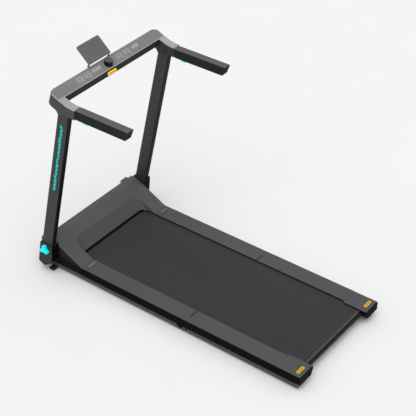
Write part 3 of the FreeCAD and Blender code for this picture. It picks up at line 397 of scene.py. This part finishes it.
rail_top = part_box("front_rail_covers")[1][2]
hood_box, rear_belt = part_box("hood"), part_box("running_belt_rear")
key_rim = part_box("safety_key")[0][1] + 0.0006       # just in front of the rim's face
MATERIALS = {
    "deck_frame": painted("deck_frame", srgb(78, 78, 80), 0.5, spec=0.2, coat=0.0),
    # rails: black sides, partly painted shade; black below the top, painted shadow in the gap beside the
    # belt; paler edges partly a painted highlight
    "rail_plastic": moulded("rail_plastic", srgb(77, 77, 77), 0.55, wear_and_highlight=0.4, spec=0.28,
                            wall_shade=srgb(8, 8, 8), axes="XY", below=rail_top - EDGE_BAND),
    "hood_plastic": hood_material(rail_top, hood_box[1][0], hood_box[0][1] + HOOD_MOUTH),
    "walking_belt": belt_material(rear_belt[0][1] + BELT_HIGHLIGHT, rear_belt[1][2]),
    "deck_board": board_material(),
    "cushion_rubber": rubbery("cushion_rubber", srgb(36, 36, 36)),
    "machined_steel": machined("machined_steel", srgb(190, 190, 194)),
    "hinge_steel": painted("hinge_steel", srgb(70, 70, 71), 0.55, spec=0.2, coat=0.0),
    "motor_paint": painted("motor_paint", srgb(34, 34, 36), 0.45),
    "pulley_metal": machined("pulley_metal", srgb(200, 200, 205), 0.35),
    "drive_rubber": rubbery("drive_rubber", srgb(28, 28, 28), 0.7),
    "circuit": circuit_material(),
    "socket_plastic": moulded("socket_plastic", srgb(22, 22, 23), 0.45, spec=0.2),
    # posts: faces looking fore and aft painted darker: painted shade
    "post_paint": painted("post_paint", srgb(56, 56, 57), 0.48, spec=0.25, wall_shade=srgb(24, 24, 24),
                          coat=0.0),
    # boots: faces looking fore and aft painted near black: painted shade
    "boot_plastic": moulded("boot_plastic", srgb(42, 42, 43), 0.5, spec=0.25, wall_shade=srgb(12, 12, 12),
                            axes="Y"),
    # console: faces looking fore and aft painted darker: painted shade
    "console_plastic": moulded("console_plastic", srgb(66, 66, 67), 0.5, spec=0.3,
                               wall_shade=srgb(54, 54, 55), axes="Y"),
    "dial_plastic": moulded("dial_plastic", srgb(22, 22, 22), 0.45, spec=0.2, wall_shade=srgb(92, 92, 93),
                            axes="Z"),
    "trim_plastic": moulded("trim_plastic", srgb(160, 160, 161), 0.42, wear_and_highlight=0.1),
    "panel_plastic": moulded("panel_plastic", srgb(122, 122, 123), 0.36, grain=2200.0, wear_and_highlight=0.05,
                             spec=0.3),
    "rest_plastic": moulded("rest_plastic", srgb(100, 100, 101), 0.5, wear_and_highlight=0.1, spec=0.35),
    # grips: sides painted darker than the tops: painted shade
    "grip_rubber": moulded("grip_rubber", srgb(92, 92, 93), 0.66, grain=1100.0, depth=0.00012,
                           spec=0.2, wall_shade=srgb(46, 46, 47), axes="XY"),
    "cyan_plastic": glossy("cyan_plastic", srgb(0, 225, 232)),
    "key_plastic": key_material(key_rim),
    "foot_rubber": rubbery("foot_rubber", srgb(40, 40, 41)),
    "wheel_rubber": rubbery("wheel_rubber", srgb(34, 34, 35), 0.6),
}
OWN_SHADE = {
    "shoulder_brackets": moulded("bracket_plastic", srgb(48, 48, 49), 0.5, spec=0.2),
    "fold_bumpers": rubbery("bumper_rubber", srgb(110, 110, 111)),
}
slot_of = {s["node"]: s["material_slot"] for s in frame["record"]["subparts"]}
for name, obj in nodes.items():
    obj.data.materials.clear()
    obj.data.materials.append(OWN_SHADE.get(name, MATERIALS[slot_of[name]]))


# ---- mesh tools ---------------------------------------------------------------------
def new_object(name, verts, faces, material=None):
    """Mesh object whose faces look outwards."""
    mesh = bpy.data.meshes.new(name)
    mesh.from_pydata([tuple(v) for v in verts], [], faces)
    mesh.update()
    bm = bmesh.new()
    bm.from_mesh(mesh)
    bmesh.ops.recalc_face_normals(bm, faces=bm.faces)
    bm.to_mesh(mesh)
    bm.free()
    obj = bpy.data.objects.new(name, mesh)
    scene.collection.objects.link(obj)
    if material:
        mesh.materials.append(material)
    return obj


def plates(name, outlines, thick, to_world, material, body):
    """Thin printed or laid-on shapes: flat outlines (u, v) raised by a thickness off a face."""
    verts, faces = [], []
    for outline in outlines:
        start, n = len(verts), len(outline)
        for lift in (0.0, thick):
            verts += [to_world(u, v, lift) for u, v in outline]
        faces.append([start + n + k for k in range(n)])
        faces.append([start + k for k in reversed(range(n))])
        faces += [(start + k, start + (k + 1) % n, start + n + (k + 1) % n, start + n + k)
                  for k in range(n)]
    obj = new_object(name, verts, faces, material)
    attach(obj, body)


# ---- walking belt -------------------------------------------------------------------
def belt_path(inset):
    """(y, z) points of the belt loop, inset from its outer face, with short steps at the fold."""
    front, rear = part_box("running_belt_front"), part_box("running_belt_rear")
    radius = (front[1][2] - front[0][2]) / 2
    z = (front[1][2] + front[0][2]) / 2
    y_front, y_rear = front[1][1] - radius, rear[0][1] + radius
    seam = (front[0][1] + rear[1][1]) / 2
    steps = sorted({round(y_rear + (y_front - y_rear) * k / 60, 5) for k in range(61)}
                   | {round(seam + 0.0125 * k / 10, 5) for k in range(-10, 11)})
    r = radius - inset
    turn = [math.pi * k / 24 for k in range(1, 24)]
    path = [(y, z + r) for y in steps]
    path += [(y_front + r * math.sin(a), z + r * math.cos(a)) for a in turn]
    path += [(y, z - r) for y in reversed(steps)]
    path += [(y_rear - r * math.sin(a), z - r * math.cos(a)) for a in turn]
    return path, seam


def walking_belt():
    """One closed loop round both rollers, with short steps where the deck folds."""
    box_lo, box_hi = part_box("running_belt_front")
    outer, seam = belt_path(0.0)
    inner, _ = belt_path(BELT_THICK)
    eased, _ = belt_path(0.0005)
    across = [(box_lo[0], eased), (box_lo[0] + 0.0006, outer)]
    across += [(box_lo[0] + (box_hi[0] - box_lo[0]) * k / 8, outer) for k in range(1, 8)]
    across += [(box_hi[0] - 0.0006, outer), (box_hi[0], eased), (box_hi[0], inner), (box_lo[0], inner)]
    n, m = len(outer), len(across)
    verts = [(x, path[i][0], path[i][1]) for i in range(n) for x, path in across]
    faces = [(i * m + j, i * m + (j + 1) % m, (i + 1) % n * m + (j + 1) % m, (i + 1) % n * m + j)
             for i in range(n) for j in range(m)]
    obj = new_object("walking_belt", verts, faces, MATERIALS["walking_belt"])
    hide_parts("running_belt_front", "running_belt_rear")
    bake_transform(obj)


# ---- markings -----------------------------------------------------------------------
def ink(name, colour, rough=0.5):
    """Screen-printed ink with slightly uneven cover."""
    t = Tree(name)
    cover = t.noise(700.0, 4.0, 0.7)
    base = t.mix(t.math("MULTIPLY", cover, 0.2), colour, shade(colour, 0.7))
    return t.finish(base, t.math("ADD", t.math("MULTIPLY", cover, 0.2), rough),
                    t.bump(cover, 0.1, 0.00003), spec=0.2)


def slanted(u0, v0, u1, v1, lean):
    """Bar between two corners whose far end is shifted sideways."""
    return [(u0, v0), (u1, v0), (u1 + lean, v1), (u0 + lean, v1)]


def cap_labels():
    """Plain yellow stickers with dark bars on the rear end caps."""
    lo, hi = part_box("end_caps")
    near, far = 0.243, 0.291        # distance of a label's ends from the middle of the deck
    yellow, dark = ink("label_yellow", srgb(244, 186, 40)), ink("label_dark", srgb(40, 36, 30))
    for side, name in ((-1, "left"), (1, "right")):
        x0, x1 = sorted((near * side, far * side))
        y0, y1 = lo[1] + 0.020, lo[1] + 0.035

        def on_cap(u, v, lift):
            return (x0 + u, y0 + v, hi[2] + lift)
        w, h = x1 - x0, y1 - y0
        plates("cap_label_" + name, [[(0, 0), (w, 0), (w, h), (0, h)]], PRINT_THICK, on_cap, yellow,
               "rear_deck")
        bars = [slanted(0.0135 + 0.0105 * k, h * 0.36, 0.0215 + 0.0105 * k, h * 0.62, 0.001)
                for k in range(3)]
        bars.append([(0.0035, h * 0.28), (0.0105, h * 0.28), (0.007, h * 0.76)])
        plates("cap_label_bars_" + name, bars, 0.00045, on_cap, dark, "rear_deck")


def post_dashes():
    """Row of slanted cyan dashes on the outer face of each post."""
    lo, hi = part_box("posts")
    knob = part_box("lock_knob_left")
    pivot_y = (knob[0][1] + knob[1][1]) / 2
    first, last, gap = 0.372, 0.735, 0.0030     # the row's ends and spacing, up the post from the pivot
    cyan = ink("dash_cyan", srgb(22, 214, 210), 0.45)
    rng = random.Random(5)
    for side, name in ((-1, "left"), (1, "right")):
        x = lo[0] if side < 0 else hi[0]

        def on_post(u, v, lift):
            return (x + side * lift, pivot_y + u * math.cos(POST_LEAN) - v * math.sin(POST_LEAN),
                    PIVOT_Z + v * math.cos(POST_LEAN) + u * math.sin(POST_LEAN))
        outlines, v = [], first
        while v < last:
            length = rng.uniform(0.011, 0.024)
            half = rng.uniform(0.0045, 0.0065)
            outlines.append(slanted(-half, v, half, v + length, rng.choice((-0.003, 0.003))))
            v += length + gap
        plates("post_dashes_" + name, outlines, PRINT_THICK, on_post, cyan, "upright")


def segments(u, v, width, height, bar):
    """The seven bars of one unlit digit, slightly slanted."""
    mid, top, lean = v + height / 2, v + height, height * 0.12
    out = []
    for base in (v, mid - bar / 2, top - bar):
        shift = lean * (base - v) / height
        out.append(slanted(u + bar + shift, base, u + width - bar + shift, base + bar,
                           lean * bar / height))
    for side in (u, u + width - bar):
        for base, end in ((v + bar * 1.3, mid - bar * 0.8), (mid + bar * 0.8, top - bar * 1.3)):
            shift = lean * (base - v) / height
            out.append(slanted(side + shift, base, side + bar + shift, end,
                               lean * (end - base) / height))
    return out


def panel_print():
    """Unlit digits and small icon bars on the console's sloping panel."""
    lo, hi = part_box("display_panel")
    rear_y, rear_z = lo[1] - 0.0036, hi[2] - 0.0244     # where the console's sloping top starts

    def on_panel(u, v, lift):
        return (u, rear_y + v * math.cos(PANEL_SLOPE) - lift * math.sin(PANEL_SLOPE),
                rear_z + v * math.sin(PANEL_SLOPE) + lift * math.cos(PANEL_SLOPE))
    pale = ink("panel_print", srgb(190, 190, 192))
    digits = []
    for u in (-0.206, -0.184, -0.156, -0.134, 0.052, 0.074, 0.102, 0.124):
        digits += segments(u, 0.020, 0.0155, 0.025, 0.0030)
    for u in (-0.1625, 0.0955):
        for v in (0.027, 0.036):
            digits.append([(u, v), (u + 0.0026, v), (u + 0.003, v + 0.0026), (u + 0.0004, v + 0.0026)])
    icons = [slanted(u, 0.013, u + 0.006, 0.0155, 0.0003)
             for u in (-0.19, -0.18, -0.14, -0.13, 0.08, 0.09, 0.13, 0.14)]
    for first, count in ((-0.104, 5), (0.160, 4)):
        icons += [slanted(first + 0.011 * k, 0.024 + 0.002 * (k % 2), first + 0.006 + 0.011 * k, 0.042,
                          0.002) for k in range(count)]
    plates("panel_print", digits + icons, PRINT_THICK, on_panel, pale, "upright")


# ---- stage --------------------------------------------------------------------------
def floor():
    """Plain pale floor, just clear of the feet."""
    half, z = 14.0, -0.0003
    obj = new_object("floor", [(-half, -half, z), (half, -half, z), (half, half, z), (-half, half, z)],
                     [(0, 1, 2, 3)])
    t = Tree("floor")
    soft = t.noise(2.0, 3.0)
    base = t.ramp(soft, [(0.3, srgb(243, 243, 243)), (0.7, srgb(245, 245, 245))])
    obj.data.materials.append(t.finish(base, 0.9, None, spec=0.1))


def lighting():
    """White studio: a bright ceiling that dims towards the horizon and one soft key light."""
    world = bpy.data.worlds.new("studio")
    scene.world = world
    world.use_nodes = True
    tree = world.node_tree
    coord = tree.nodes.new("ShaderNodeTexCoord")
    split = tree.nodes.new("ShaderNodeSeparateXYZ")
    ramp = tree.nodes.new("ShaderNodeValToRGB")
    tree.links.new(coord.outputs["Generated"], split.inputs["Vector"])
    tree.links.new(split.outputs["Z"], ramp.inputs["Fac"])
    ramp.color_ramp.elements[0].color = (0.30, 0.30, 0.30, 1)
    ramp.color_ramp.elements[1].color = (1.0, 1.0, 1.0, 1)
    ramp.color_ramp.elements[1].position = 0.9
    back = tree.nodes["Background"]
    tree.links.new(ramp.outputs["Color"], back.inputs["Color"])
    back.inputs["Strength"].default_value = 0.80
    sun = bpy.data.lights.new("key", "SUN")
    sun.energy, sun.angle = 1.25, math.radians(50)
    key = bpy.data.objects.new("key", sun)
    scene.collection.objects.link(key)
    key.rotation_mode = "QUATERNION"
    key.rotation_quaternion = Vector((0.40, 0.20, -1.0)).to_track_quat("-Z", "Y")
    scene.view_settings.view_transform = "Standard"


def camera():
    """Long lens from behind the user's left shoulder, looking down on the deck."""
    data = bpy.data.cameras.new("camera")
    obj = bpy.data.objects.new("camera", data)
    scene.collection.objects.link(obj)
    obj.location = (-3.675, -2.799, 3.813)
    azimuth, elevation = math.radians(-52.87), math.radians(36.04)
    back = Vector((math.sin(azimuth) * math.cos(elevation), -math.cos(azimuth) * math.cos(elevation),
                   math.sin(elevation)))
    obj.rotation_mode = "QUATERNION"
    obj.rotation_quaternion = (-back).to_track_quat("-Z", "Y")
    data.lens = 112.2
    data.sensor_width = 36.0
    data.clip_end = 60.0
    scene.camera = obj


walking_belt()
cap_labels()
post_dashes()
panel_print()
floor()
lighting()
camera()
